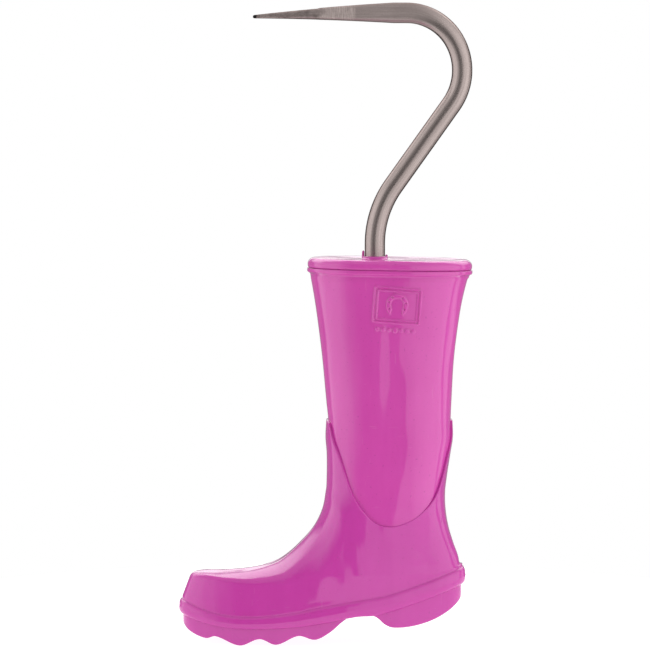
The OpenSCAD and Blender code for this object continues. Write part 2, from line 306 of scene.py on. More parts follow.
# Step for slopes of the fields
STEP = 0.01

VAMP_DENSE = dense_line(VAMP_LINE)


def foot_outline(out, shares):
    """Half of the foot's plan outline, grown by out."""
    return half_oval(TOE_X - out, HEEL_X + out, lambda x: curve(FOOT_HALF_W, x) + out, FOOT_POWER, shares)


def welt_top(x):
    """Height at which the welt's fillet meets the wall."""
    return curve(WELT_Z, x) + curve(WELT_H, x) + 0.3


def outer_field(x, y, z):
    """Inside negative: the foot's and ankle's side wall, before the vamp cuts it."""
    back = curve(ANKLE, z, 2) + 0.5 * (1 - smoothstep(17, 20, z))
    ankle_front = curve(ANKLE, z)
    low_front = TOE_X + TOE_LEAN * np.maximum(z - TOE_LEAN_Z, 0)
    high_front = ankle_front - (ankle_front - TOE_X - 2.3) * (1 - smoothstep(14, 38, z))
    front = np.minimum(np.where(z < ANKLE_FROM_Z, low_front, high_front), ankle_front)
    up = smoothstep(ANKLE_FROM_Z, ANKLE_TO_Z, z)
    side_lean = SIDE_LEAN * np.maximum(z - welt_top(x), 0) * smoothstep(4, -14, x)
    foot_w = curve(FOOT_HALF_W, x) - side_lean
    ankle_w = curve(ANKLE_HALF_W, z)
    heel_up = smoothstep(-6, 10, x) * smoothstep(8, 20, z)
    half_w = mix(mix(foot_w, np.maximum(foot_w, ankle_w), heel_up), ankle_w, up)
    n = mix(FOOT_POWER, ANKLE_POWER, up)
    t = np.abs(x - (front + back) / 2) / ((back - front) / 2)
    return (t**n + np.abs(y / half_w) ** n + 1e-9) ** (1 / n) - 1


def vamp_field(x, y, z):
    """Distance outside the crowned vamp and instep, and x + z where the vamp line is nearest."""
    a, b = VAMP_DENSE[:-1], VAMP_DENSE[1:]
    d = b - a
    px, pz = x[:, None] - a[None, :, 0], z[:, None] - a[None, :, 1]
    t = np.clip((px * d[:, 0] + pz * d[:, 1]) / (d * d).sum(1), 0, 1)
    qx, qz = px - t * d[:, 0], pz - t * d[:, 1]
    far = qx * qx + qz * qz
    k = far.argmin(1)
    row = np.arange(len(x))
    side = d[k, 0] * pz[row, k] - d[k, 1] * px[row, k]
    station = (a[k] + t[row, k][:, None] * d[k]).sum(1)
    distance = np.sign(side) * np.sqrt(far[row, k])
    return distance + curve(VAMP_CROWN, station) * np.abs(y / VAMP_HALF_W) ** VAMP_POWER, station


def foot_field(p):
    """Inside negative, about in millimetres near the surface."""
    x, y, z = p.T
    g = outer_field(x, y, z)
    slope = np.hypot(outer_field(x + STEP, y, z) - g, outer_field(x, y + STEP, z) - g) / STEP
    field = g / np.maximum(slope, 0.02)
    near = (x < VAMP_BACK_X) & (z < VAMP_END_Z)
    if near.any():
        top, station = vamp_field(x[near], y[near], z[near])
        fade = smoothstep(VAMP_FADE_Z, VAMP_END_Z, z[near])
        field[near] = smooth_max(field[near], top - fade, curve(VAMP_ROUND, station))
    return field


def onto_foot(p, rounds, hold_z=0):
    """Moves points onto the foot's surface. With hold_z at 1 they keep their heights."""
    p = p.copy()
    for _ in range(rounds):
        f = foot_field(p)
        g = np.stack([foot_field(p + a) - f for a in np.eye(3) * STEP], axis=1) / STEP
        g[:, 2] *= 1 - hold_z
        length = np.maximum((g * g).sum(1), 0.05)
        p -= np.clip(f / length, -1.5, 1.5)[:, None] * g
    return p


def scoop_z(share):
    """Height of the overlay's edge, where share runs from -1 at the boot's back to 1 at its front."""
    return curve(SCOOP, share)


# ---- foot: its mesh ----

FOOT_SHARES = stations(FOOT_HALF_RING, 181)


def welt_rings():
    """The welt: a bead whose top runs into the wall through a small fillet."""
    low, middle, top = np.linspace(0, 0.16, 5), np.linspace(0.2, 0.8, 9), np.linspace(0.85, 1.12, 8)
    rings = []
    for t in np.concatenate([low, middle, top]):
        above = t > 0.5
        bead = WELT_OUT * np.maximum(0, 1 - np.abs(2 * t - 1) ** 2.6) ** 0.5 - (0.12 if above else 0.0)
        out = smooth_max(bead, 0.0, 0.3) - (0.0 if above else 0.05)
        ring = foot_outline(out, FOOT_SHARES)
        z = curve(WELT_Z, ring[:, 0]) + t * curve(WELT_H, ring[:, 0])
        rings.append(np.column_stack([ring, z]))
    return rings


def side_rings(welt):
    """From the welt's top up to a ring along the crease at the front and low round the heel."""
    base = foot_outline(0, FOOT_SHARES)
    x = base[:, 0]
    crease_z = mix(curve(CREASE_Z, x), welt_top(HEEL_X) + 2.5, smoothstep(-14, HEEL_X, x))
    crease = onto_foot(np.column_stack([base, np.maximum(crease_z, welt[:, 2] + 1.2)]), 6)
    rings = []
    for t in 1 - (1 - np.linspace(0, 1, 17)[1:]) ** 1.35:
        rings.append(onto_foot(mix(welt, crease, t), 6, hold_z=int(t < 0.8)))
    return rings


def ankle_ring():
    """A ring round the ankle below the scooped edge, and its points' places along the boot, -1 to 1."""
    level, half_w = 50.0, 12.4
    oval = half_oval(curve(ANKLE, level), curve(ANKLE, level, 2), half_w, ANKLE_POWER, FOOT_SHARES)
    front, back = ANKLE[-1, 1:]
    share = ((front + back) / 2 - oval[:, 0]) / ((back - front) / 2)
    low_z = scoop_z(share) - 2.6 - 12 * np.abs(share) ** 3
    return onto_foot(np.column_stack([oval, low_z]), 8, hold_z=1), share


def vamp_rings(crease, ankle):
    """From the crease up to the ankle ring. In front the rings climb along the vamp line."""
    q = np.linspace(0, 1, 75)[1:]
    q = 0.55 * q + 0.45 * q**2
    line = VAMP_DENSE[(VAMP_DENSE[:, 0] > crease[-1, 0] + 0.4) & (VAMP_DENSE[:, 1] < ankle[-1, 2])]
    path = resample(np.vstack([crease[-1, [0, 2]], line, ankle[-1, [0, 2]]]), q)
    frontness = smoothstep(0.45, 1.0, np.linspace(0, 1, len(crease)))
    rings = []
    for t, goal in zip(q, path, strict=True):
        guess = mix(crease, ankle, t)
        bow = goal - guess[-1, [0, 2]]
        guess[:, 0] += bow[0] * frontness
        guess[:, 2] += bow[1] * frontness
        rings.append(onto_foot(guess, 9))
    return rings


def edge_rings(last, share):
    """From the ankle ring up to the scooped edge, at set heights."""
    edge_z = scoop_z(share)
    front, back = curve(ANKLE, edge_z), curve(ANKLE, edge_z, 2)
    edge_x = (front + back) / 2 - share * (back - front) / 2
    rings = []
    for t in np.linspace(0, 1, 15)[1:]:
        guess = last.copy()
        guess[:, 0] = mix(last[:, 0], edge_x, t)
        guess[:, 2] = mix(last[:, 2], edge_z, t)
        rings.append(onto_foot(guess, 5, hold_z=1))
    return rings


def inner_ring(below, ring, above, middle):
    """The wall's inside at a ring, square to its surface."""
    normal = np.cross(above - below, np.gradient(ring, axis=0))
    normal /= np.maximum(np.linalg.norm(normal, axis=1), 1e-9)[:, None]
    side = np.sign((normal * (middle - ring)).sum(1) + 1e-9)[:, None]
    inner = ring + normal * WALL * side * 0.9
    inner[[0, -1], 1] = 0
    inner[:, 1] = np.minimum(inner[:, 1], 0)
    return inner


def foot_piece():
    """The foot with its welt, vamp and scooped overlay, as a hollow shell."""
    rings = welt_rings()
    welt_rows = len(rings)
    rings += side_rings(rings[-1])
    ankle, share = ankle_ring()
    rings += vamp_rings(rings[-1], ankle)
    rings += edge_rings(rings[-1], share)
    edge = rings[-1]
    middle = np.array([(ANKLE[-1, 1] + ANKLE[-1, 2]) / 2, 0, 0])
    outward = (edge - middle) * np.array([1, 1, 0])
    outward /= np.linalg.norm(outward, axis=1)[:, None]
    up = np.array([0, 0, 1])
    lip_r = 0.22
    for turn in np.radians([20, 45, 70, 90]):
        rings.append(edge - outward * lip_r * (1 - math.cos(turn)) + up * lip_r * math.sin(turn))
    for inset in (0.6, 1.2, WALL - 0.3):
        rings.append(edge - outward * inset + up * lip_r)
    inner_rows = list(range(len(rings) - 12, welt_rows, -10)) + [welt_rows]
    rings += [inner_ring(*rings[k - 1 : k + 2], middle) for k in inner_rows]
    base = foot_outline(-WALL, FOOT_SHARES)
    rings.append(np.column_stack([base, curve(WELT_Z, base[:, 0])]))
    return ring_tube("foot", [whole(ring) for ring in rings])


# ---- leg ----

LEG_TOP = CUFF_Z - RIM_H - 2
LEG_LEVELS = np.linspace(20, 95, 151)
# Front x, back x and half width of the leg: at the overlay's tips, and what they gain up to its top, in
# step with the share of the way and with the share's cube
LEG_SHAPE = ((0.75, -3.1, -1.1), (30.9, 1.4, 2.7), (12.45, 2.0, 0.25))
# The rings follow the scooped edge at first and are level from here up
LEG_LEVEL_Z = 76.6
# Rings behind the overlay: drop below the scooped edge, and inset
LEG_TUCK = [(5, 1.75), (3.5, 1.6), (1.9, 1.55), (1.7, 1.2), (1.7, 0.6), (1.7, 0.1)]


def leg_ends(z):
    """Front x, back x and half width of the leg by height."""
    share = np.maximum((z - SCOOP_TIP) / (LEG_TOP - SCOOP_TIP), -0.15)
    up = smoothstep(SCOOP_TIP - 4, SCOOP_TIP + 4, z)
    ankle = (curve(ANKLE, z) + OVERLAY, curve(ANKLE, z, 2) - OVERLAY, curve(ANKLE_HALF_W, z) - OVERLAY)
    leg = [start + gain * share + flare * share**3 for start, gain, flare in LEG_SHAPE]
    return [float(mix(low, high, up)) for low, high in zip(ankle, leg, strict=True)]


def leg_table(shares):
    """Half sections of the leg at LEG_LEVELS."""
    return np.stack([half_oval(*leg_ends(z), LEG_POWER, shares) for z in LEG_LEVELS])


def leg_points(table, z, out):
    """Points of the leg's surface, one for each column at its own height, grown by out."""
    step = LEG_LEVELS[1] - LEG_LEVELS[0]
    q = np.clip((z - LEG_LEVELS[0]) / step, 0, len(LEG_LEVELS) - 1.001)
    i = q.astype(int)
    column = np.arange(table.shape[1])
    p = mix(table[i, column], table[i + 1, column], (q - i)[:, None])
    along = np.gradient(p, axis=0)
    normal = np.stack([-along[:, 1], along[:, 0]], axis=1)
    normal /= np.linalg.norm(normal, axis=1)[:, None]
    normal[0], normal[-1] = (1, 0), (-1, 0)
    p = p + normal * np.reshape(out, (-1, 1))
    return np.column_stack([p, z])


def frame_line(bx, bz, half_x, half_z, corner, half_line):
    """Distance outside a rounded rectangle drawn with a line."""
    dx, dz = np.abs(bx) - half_x + corner, np.abs(bz) - half_z + corner
    edge = np.hypot(np.maximum(dx, 0), np.maximum(dz, 0)) + np.minimum(np.maximum(dx, dz), 0) - corner
    return np.abs(edge + half_line) - half_line


def horseshoe(x, z):
    """Distance outside a horseshoe: an arch that closes in a little at its heels, with nail holes."""
    radius, half_band, nail_r = 2.1, 0.5, 0.2
    r = np.hypot(x, np.where(z > 0, z, z * 0.85))
    shoe = np.abs(r - radius) - half_band
    shoe = np.maximum(shoe, 1.25 - np.abs(np.arctan2(x, -z)) * r * 0.9)
    shoe = np.where((z < 0) & (np.abs(x) < 1.0), 1.0, shoe)
    for angle in np.radians([-120, -75, -35, 35, 75, 120]):
        nail = nail_r - np.hypot(x - radius * math.sin(angle), z - radius * math.cos(angle))
        shoe = np.maximum(shoe, nail)
    return shoe


def badge_height(x, z):
    """Relief of the badge on the leg's side: a double frame round a horseshoe, with studs below."""
    c, s = math.cos(BADGE_TURN), math.sin(BADGE_TURN)
    dx, dz = x - BADGE_X, z - BADGE_Z
    bx, bz = dx * c - dz * s, dx * s + dz * c
    gap = 0.75
    outer = frame_line(bx, bz, BADGE_HALF_X, BADGE_HALF_Z, corner=0.5, half_line=0.17)
    inner = frame_line(bx, bz, BADGE_HALF_X - gap, BADGE_HALF_Z - gap, corner=0.25, half_line=0.12)
    edge = np.minimum(np.minimum(outer, inner), horseshoe(bx, bz - 0.25))
    pitch, drop = 1.45, 1.6
    for k in range(-3, 4):
        stud = np.hypot(bx - pitch * k, bz + BADGE_HALF_Z + drop) - (0.42 if k % 2 else 0.55)
        edge = np.minimum(edge, stud)
    return BADGE_H * smoothstep(0.13, -0.13, edge)


def waves(x, y, z):
    """Faint unevenness of the moulded wall, in millimetres."""
    crossing = 0.035 * np.sin(0.19 * z + 0.31 * x + 0.6) * np.sin(0.23 * x - 0.11 * z + 0.15 * y + 1.0)
    return crossing + 0.02 * np.sin(0.41 * z + 0.17 * x + 2.0)


def badge_shares():
    """Shares of the near half ring's length, close together where the badge stands."""
    behind = stations(LEG_HALF_RING, 60)[:30] * 0.66
    badge = np.linspace(0.335, 0.70, 140)
    ahead = 1 - stations(LEG_HALF_RING, 56)[:28][::-1] * 0.58
    return np.unique(np.round(np.concatenate([behind, badge, ahead]), 7))


def below_edge(drop):
    """Heights of a ring that keeps below the scooped edge."""
    return lambda share: scoop_z(share) - drop


def level_at(z):
    """Heights of a level ring."""
    return lambda share: np.full(len(share), float(z))


def leg_piece():
    """The leg as a hollow shell, tucked behind the overlay, with a thin flange under the cap."""
    near, far = badge_shares(), stations(LEG_HALF_RING, 110)
    near_table, far_table = leg_table(near), leg_table(far)

    def row(z_of, out=0.0, relief=False):
        """One ring. z_of gives heights from places along the boot, -1 at its back to 1 at its front."""
        halves = []
        for table in (near_table, far_table):
            middle = table[len(LEG_LEVELS) // 2]
            z = z_of(2 * (middle[0, 0] - middle[:, 0]) / (middle[0, 0] - middle[-1, 0]) - 1)
            half = leg_points(table, z, out)
            if relief:
                swell = waves(*half.T)
                if table is near_table:
                    swell = swell + badge_height(half[:, 0], half[:, 2])
                half = leg_points(table, z, out + swell)
            halves.append(half)
        return closed(*halves)

    rows = [row(below_edge(drop), -inset) for drop, inset in LEG_TUCK]
    for t in np.linspace(0, 1, 76):
        rows.append(row(lambda share, t=t: mix(scoop_z(share) - 1.5, LEG_LEVEL_Z, t), relief=True))
    for z in np.concatenate([np.linspace(LEG_LEVEL_Z, 88.2, 90)[1:], [88.6, 89.0, 89.4]]):
        rows.append(row(level_at(z), relief=True))
    rows += [cuff_row(inset, drop, near, far) for inset, drop in flange_profile()]
    inside = -(WALL + 0.4)
    rows += [row(level_at(z), inside) for z in (84, 76, 66, 56)]
    rows.append(row(lambda share: np.minimum(scoop_z(share) + 2, 48.0), inside))
    rows.append(row(below_edge(6), inside))
    return ring_tube("leg", rows)


# ---- cuff ----

# Height of the cap's top where the bar comes out
COLLAR_Z = CUFF_Z + (LEG_MID - BAR_X) * math.sin(CUFF_TILT)
# The small raised ring there, and the hole inside it: radius, and height over COLLAR_Z
COLLAR = [
    (3.5, 0.02), (3.34, 0.08), (3.25, 0.2), (3.21, 0.36), (3.14, 0.46), (3.02, 0.5), (2.8, 0.5),
    (2.66, 0.46), (2.58, 0.36), (2.55, 0.2), (2.55, -1.0), (2.55, -3.0),
]


def tilt(p):
    """Turns points by the slope of the cuff, about the middle of its top."""
    c, s = math.cos(CUFF_TILT), math.sin(CUFF_TILT)
    dx, dz = p[:, 0] - LEG_MID, p[:, 2] - CUFF_Z
    return np.column_stack([LEG_MID + dx * c + dz * s, p[:, 1], CUFF_Z - dx * s + dz * c])


def cuff_row(inset, drop, near, far):
    """One ring of the cuff: inset from its greatest outline and drop below its top."""
    front, back = LEG_MID - CUFF_LEN / 2 + inset, LEG_MID + CUFF_LEN / 2 - inset
    p = closed(*[half_oval(front, back, CUFF_W / 2 - inset, LEG_POWER, shares) for shares in (near, far)])
    return tilt(np.column_stack([p, np.full(len(p), CUFF_Z - drop)]))


def flange_profile():
    """Inset and drop of the flange's rings, from under it round its edge to its top."""
    under = [(0.74, 4.3), (0.66, 3.95), (0.5, 3.72), (0.3, 3.56)]
    edge = arc((0.1, 2.98), (0.2, 0.5), 90, 270, 15)
    return under + edge + [(0.24, 2.5), (0.35, 2.68), (0.39, 3.0), (1.6, 3.0), (WALL + 1, 3.0)]


def rim_profile():
    """Inset and drop of the cap's rings, from under the rim up to its flat top."""
    under = [(WALL + 0.6, 2.99), (1.6, 2.99), (0.7, 2.985), (0.45, 2.98), (0.42, 2.7)]
    low = arc((0.76, 1.75), (0.75, 0.86), 122, 180, 12)
    side = [(0.01, 1.65), (0.01, 1.6)]
    high = arc((1.7, 1.5), (1.69, 1.5), 180, 270, 16)
    return under + low + side + high + [(2.2, 0.0), (2.8, 0.0)]


def cap_piece():
    """The lid of the boot: rounded rim, flat top, raised ring and the hole for the bar."""
    shares = stations(CUFF_HALF_RING, 130)
    rows = [cuff_row(inset, drop, shares, shares) for inset, drop in rim_profile()]
    top = rows[-1]
    turn = np.arctan2(top[:, 1], top[:, 0] - BAR_X)

    def collar_row(r, h):
        """A ring round the bar, its points in the same directions as the cap's."""
        x, y = BAR_X + r * np.cos(turn), r * np.sin(turn)
        return np.column_stack([x, y, np.full(len(top), COLLAR_Z + h)])

    start = collar_row(3.75, 0.0)
    start[:, 2] = CUFF_Z - (start[:, 0] - LEG_MID) * math.tan(CUFF_TILT)
    rows += [mix(top, start, t) for t in np.linspace(0, 1, 17)[1:]]
    rows += [collar_row(r, h) for r, h in COLLAR]
    rows.append(mix(rows[-1], cuff_row(6, 2.99, shares, shares), 0.5))
    return ring_tube("cap", rows)


def fins_piece():
    """Two small fins of flash that stand beside the bar, on the parting line."""
    sides, sunk = 20, 0.3
    a = np.linspace(0, 2 * math.pi, sides + 1)[:-1]
    points, faces = [], []
    for side, height in ((-1, 1.9), (1, 0.9)):
        x0 = BAR_X + side * (BAR_R + 0.4)
        rows = []
        for t in np.linspace(0, 1, 9):
            z = COLLAR_Z - sunk + (height + sunk) * t
            round_top = round_end(t, 0.8, 0.2)
            x = x0 + 0.3 * (0.35 + 0.65 * round_top) * squared(np.cos(a), 4) - 0.06 * side * t
            y = 0.2 * (0.4 + 0.6 * round_top) * squared(np.sin(a), 4)
            rows.append(np.column_stack([x, -y, np.full(sides, z)]))
        offset = len(points)
        points += np.concatenate(rows).tolist()
        faces += [tuple(v + offset for v in f) for f in ring_faces(len(rows), sides)]
        first = tuple(range(offset, offset + sides))
        last = tuple(range(len(points) - sides, len(points)))
        faces += [first[::-1], last]
    return make_mesh("cap_flash", points, faces)


# ---- sole and heel ----


def under_piece(name, line, low_x, high_x):
    """A block under the foot, trimmed by its outline, with an underside of its own and a rounded edge."""
    count, edge_r = 150, 0.55
    full = foot_outline(-SOLE_INSET, np.linspace(0, 1, 2400))
    half = full[(full[:, 0] >= low_x) & (full[:, 0] <= high_x)]
    if half[0, 0] > high_x - 0.2 and high_x < HEEL_X - 1:
        half = np.vstack([[[high_x, 0]], half])
    if half[-1, 0] < low_x + 0.2 and low_x > TOE_X + 1:
        half = np.vstack([half, [[low_x, 0]]])
    half[[0, -1], 1] = 0
    half = resample(half, np.linspace(0, 1, count))
    mid_x = np.clip(half[:, 0], low_x + 2.5, high_x - 2.5)

    def underside(x):
        return np.minimum(curve(line, x), curve(WELT_Z, x) - 0.05)

    top, bottom = curve(WELT_Z, half[:, 0]), underside(half[:, 0])
    room = np.clip((top - bottom) * 0.8, 0.02, edge_r)
    rows = [np.column_stack([half, top + rise]) for rise in (1.2, 0.0)]
    for t in (0.25, 0.5, 0.75, 1.0):
        rows.append(np.column_stack([half, mix(top, bottom + room, t)]))
    inward = np.column_stack([mid_x - half[:, 0], -half[:, 1] * 0.9])
    inward /= np.maximum(np.linalg.norm(inward, axis=1), 1e-9)[:, None]
    for a in np.radians([15, 30, 45, 60, 75, 90]):
        p = half + inward * (edge_r * (1 - math.cos(a)))
        rows.append(np.column_stack([p, underside(p[:, 0]) + room * (1 - math.sin(a))]))
    last = rows[-1][:, :2]
    for t in (0.06, 0.2, 0.4, 0.6, 0.8, 0.97):
        p = np.column_stack([mix(last[:, 0], mid_x, t), last[:, 1] * (1 - t)])
        rows.append(np.column_stack([p, underside(p[:, 0])]))
    n = 2 * count - 2
    faces = [f[::-1] for f in ring_faces(len(rows), n)]
    faces += strip_cap(0, n) + strip_cap(n * (len(rows) - 1), n, flip=True)
    return make_mesh(name, np.concatenate([whole(r) for r in rows]), faces)


def plate_piece():
    """The flat underside of the foot, seen at the arch."""
    half = foot_outline(-WALL - 0.1, np.linspace(0, 1, 120))
    rows = [np.column_stack([half, curve(WELT_Z, half[:, 0]) + rise]) for rise in (0.02, 1.5)]
    n = 2 * len(half) - 2
    faces = ring_faces(2, n) + strip_cap(0, n, flip=True) + strip_cap(n, n)
    return make_mesh("plate", np.concatenate([whole(r) for r in rows]), faces)


# ---- bar ----


def bar_path():
    """Middle line of the bar up to the pick, as rows of x, z, turn from vertical and length so far.

    It also gives the length at the end of each stretch."""
    step = 0.5
    over = math.pi / 2 + LEAN - BACK_TURN
    stretches = [(TANG_LEN, 0), (LEAN, LEAN_R), (SHANK_LEN, 0), (-BACK_TURN, BACK_R), (-over, TOP_R)]
    x, z, turn, length = BAR_X, BEND_Z - TANG_LEN, 0.0, 0.0
    rows = [(x, z, turn, length)]
    ends = []
    for amount, radius in stretches + [(TOP_FLAT, 0)]:
        span = abs(amount) * radius if radius else amount
        count = max(2, round(span / step))
        bend = amount / count if radius else 0.0
        h = span / count
        chord = 2 * radius * math.sin(abs(bend) / 2) if radius else h
        for _ in range(count):
            middle = turn + bend / 2
            x += chord * math.sin(middle)
            z += chord * math.cos(middle)
            turn += bend
            length += h
            rows.append((x, z, turn, length))
        ends.append(length)
    return rows, ends


def hook_piece():
    """The whole bar, the length where its pick starts, and a function from x on the pick to length.

    The mesh carries an attribute, strand: length along the bar and two offsets from its middle line."""
    sides = 72
    rows, ends = bar_path()
    x_end, z_end, _, pick_start = rows[-1]
    pick_len = x_end - PICK_TIP_X
    a = np.linspace(0, 2 * math.pi, sides + 1)[:-1]
    points, strands = [], []

    def add(x, z, turn, length, thick, wide, n):
        u, v = thick / 2 * squared(np.cos(a), n), wide / 2 * squared(np.sin(a), n)
        points.append(np.column_stack([x + u * math.cos(turn), v, z - u * math.sin(turn)]))
        strands.append(np.column_stack([np.full(sides, length), u, v]))

    top_start, top_end = ends[3], ends[4]
    for x, z, turn, length in rows:
        n = 2 + 0.9 * float(smoothstep(top_start - 2, top_end + 3, length))
        add(x, z, turn, length, 2 * BAR_R, 2 * BAR_R, n)
    for s in np.concatenate([np.linspace(0, 0.985, 118)[1:], [0.99, 0.994, 0.997, 0.999, 1.0]]):
        x = x_end - pick_len * s
        thick = 2 * BAR_R + (TIP_T - 2 * BAR_R) * s
        swell = math.sin(math.pi * s)
        wide = 2 * BAR_R + (PICK_W - 2 * BAR_R) * swell if s < 0.5 else TIP_W + (PICK_W - TIP_W) * swell
        ground = float(smoothstep(GRIND_TO_X + 0.35, GRIND_TO_X - 0.35, x))
        tip_round = round_end(s, 0.985, 0.016)
        thick = (thick - 0.14 * ground) * (0.35 + 0.65 * tip_round)
        wide = wide - 2 * (1 - tip_round) * 0.5
        n = 2.9 + 1.1 * min(1, 3 * s)
        drop = PICK_DROP * s * s + 0.05 * ground
        add(x, z_end - drop, -math.pi / 2, pick_start + pick_len * s, thick, wide, n)
    faces = [f[::-1] for f in ring_faces(len(points), sides)]
    faces.append(tuple(range(sides)))
    faces.append(tuple(len(points) * sides - 1 - i for i in range(sides)))
    hook = make_mesh("hook_bar", np.concatenate(points), faces)
    layer = hook.data.attributes.new("strand", "FLOAT_VECTOR", "POINT")
    layer.data.foreach_set("vector", np.concatenate(strands).astype(np.float32).ravel())
    return hook, pick_start, lambda x: float(pick_start + x_end - x)


# ---- nodes ----


class Nodes:
    """Short calls for building a node tree. A value may be a number, a tuple or another node's output."""

    def __init__(self, tree):
        self.tree = tree
        tree.nodes.clear()

    def new(self, kind, **settings):
        """A new node with its properties set."""
        node = self.tree.nodes.new("ShaderNode" + kind)
        for key, value in settings.items():
            setattr(node, key, value)
        return node

    def put(self, value, socket):
        """Gives a socket its value, or links it."""
        if isinstance(value, bpy.types.NodeSocket):
            self.tree.links.new(value, socket)
        else:
            socket.default_value = value

    def put_all(self, values, sockets):
        for value, socket in zip(values, sockets, strict=True):
            self.put(value, socket)

    def split(self, vector):
        """The three numbers of a vector."""
        node = self.new("SeparateXYZ")
        self.put(vector, node.inputs[0])
        return node.outputs

    def math(self, operation, a, b=0.0, c=0.0):
        node = self.new("Math", operation=operation)
        self.put_all((a, b, c), node.inputs)
        return node.outputs[0]

    def times(self, a, b):
        return self.math("MULTIPLY", a, b)

    def plus(self, a, b):
        return self.math("ADD", a, b)

    def between(self, value, low, high, from_level, to_level, interpolation="LINEAR"):
        """Runs from one level to another while value runs from low to high, and stays at those levels."""
        node = self.new("MapRange", interpolation_type=interpolation)
        self.put_all((value, low, high, from_level, to_level), node.inputs[:5])
        return node.outputs[0]

    def spread(self, value, low, high):
        """Takes a noise value, which stays near a half, to a range."""
        return self.between(value, 0.3, 0.7, low, high)

    def ramp(self, value, stops):
        """A grey ramp. Each stop is (position, level)."""
        node = self.new("ValToRGB")
        self.put(value, node.inputs[0])
        elements = node.color_ramp.elements
        while len(elements) < len(stops):
            elements.new(1.0)
        for element, (position, level) in zip(elements, stops, strict=True):
            element.position = position
            element.color = (level, level, level, 1)
        return node.outputs[0]

    def noise(self, place, scale, detail=2.0, roughness=0.5):
        node = self.new("TexNoise")
        sockets = [node.inputs[key] for key in ("Vector", "Scale", "Detail", "Roughness")]
        self.put_all((place, scale, detail, roughness), sockets)
        return node.outputs["Fac"]

    def drawn_noise(self, place, scale, turn=(0.0, 0.0, 0.0), detail=2.0, roughness=0.5):
        """Noise drawn out along the axes with a low scale. turn only picks another pattern."""
        node = self.new("Mapping")
        self.put_all((place, turn, scale), [node.inputs[key] for key in ("Vector", "Rotation", "Scale")])
        return self.noise(node.outputs[0], 1.0, detail, roughness)

    def colour(self, share, a, b):
        """A mix of two colours."""
        node = self.new("Mix", data_type="RGBA")
        self.put(share, node.inputs[0])
        for value, socket in ((a, node.inputs[6]), (b, node.inputs[7])):
            self.put((*value, 1.0) if isinstance(value, tuple) else value, socket)
        return node.outputs[2]

    def bump(self, height, distance, strength, normal=None):
        """A bumped normal, on top of another one if that is given."""
        node = self.new("Bump")
        sockets = [node.inputs[key] for key in ("Height", "Distance", "Strength")]
        self.put_all((height, distance, strength), sockets)
        if normal is not None:
            self.put(normal, node.inputs["Normal"])
        return node.outputs[0]


# ---- studio ----

# Brightness round the object: degrees from the camera's side, positive to its right, and level
SURROUNDINGS = [
    (-180, 0.3), (-128, 0.3), (-118, 1.6), (-64, 1.6), (-44, 0.85), (-24, 0.3), (4.0, 0.3), (5.5, 1.1),
    (20, 1.25), (50, 1.7), (70, 1.8), (93, 1.8), (96, 0.6), (102, 0.6), (106, 1.3), (118, 1.3),
    (128, 0.3), (180, 0.3),
]
# The ramp holds the levels as shares of this
FULL_LEVEL = 3.0
# Share of that brightness from straight below (0) to straight above (1)
UPRIGHT = [(0, 0.5), (0.12, 0.8), (0.4, 1), (0.7, 1), (0.85, 0.7), (1, 0.5)]

FLOOR_RADIUS = 0.14
FLOOR_FINISH = {
    "Base Color": (0.3, 0.3, 0.3, 1),
    "Roughness": 0.9,
    "Emission Color": (1, 1, 1, 1),
    "Emission Strength": 0.92,
}

CAMERA_PLACE = (0, -800, 127.4)
CAMERA_TARGET = (0, 0, 78.0)
CAMERA_LENS = 180.4


def studio_world():
    """Softboxes left and right, a dim gap round the camera and a pale ceiling.

    Behind the object there are a high panel and, low down, a bright strip. The camera itself sees plain
    white."""
    world = bpy.data.worlds.new("studio")
    bpy.context.scene.world = world
    world.use_nodes = True
    tree = Nodes(world.node_tree)
    x, y, z = tree.split(tree.new("TexCoord").outputs["Generated"])
    angle = tree.math("ARCTAN2", x, tree.times(y, -1.0))
    turn = tree.math("MULTIPLY_ADD", angle, 0.5 / math.pi, 0.5)
    stops = [((degrees + 180) / 360, level / FULL_LEVEL) for degrees, level in SURROUNDINGS]
    around = tree.ramp(turn, stops)
    upright = tree.ramp(tree.math("MULTIPLY_ADD", z, 0.5, 0.5), UPRIGHT)
    glow = tree.times(tree.times(around, upright), FULL_LEVEL)
    behind = tree.between(y, 0.0, 0.4, 0.0, 1.6)
    high = tree.times(tree.between(z, 0.2, 0.4, 0.0, 1.0), tree.between(z, 0.84, 0.88, 1.0, 0.2))
    panel = tree.times(tree.times(behind, high), tree.between(z, 0.35, 0.75, 1.0, 1.9))
    strip = tree.times(tree.between(y, 0.955, 0.975, 0.0, 1.0), tree.between(z, 0.0, 0.12, 0.35, 1.6))
    strip = tree.times(strip, tree.math("GREATER_THAN", z, -0.01))
    ceiling = tree.between(z, 0.6, 0.75, 0.0, 0.8)
    for light in (panel, strip, ceiling):
        glow = tree.math("MAXIMUM", glow, light)
    strength = tree.new("Mix", data_type="FLOAT")
    tree.put(tree.new("LightPath").outputs["Is Camera Ray"], strength.inputs[0])
    tree.put(glow, strength.inputs[2])
    tree.put(1.0, strength.inputs[3])
    background = tree.new("Background")
    tree.put_all(((1.0, 1.0, 1.0, 1.0), strength.outputs[0]), background.inputs[:2])
    tree.put(background.outputs[0], tree.new("OutputWorld").inputs[0])


def add_floor():
    """A pale disc just large enough to catch the contact shadow."""
    a = np.linspace(0, 2 * math.pi, 121)[:-1]
    rim = np.column_stack([FLOOR_RADIUS * np.cos(a), FLOOR_RADIUS * np.sin(a), np.zeros(len(a))])
    mesh = bpy.data.meshes.new("floor")
    mesh.from_pydata(rim.tolist(), [], [tuple(range(len(a)))])
    floor = bpy.data.objects.new("floor", mesh)
    bpy.context.scene.collection.objects.link(floor)
    material, _, shader = principled("pale_floor")
    for key, value in FLOOR_FINISH.items():
        shader.inputs[key].default_value = value
    mesh.materials.append(material)


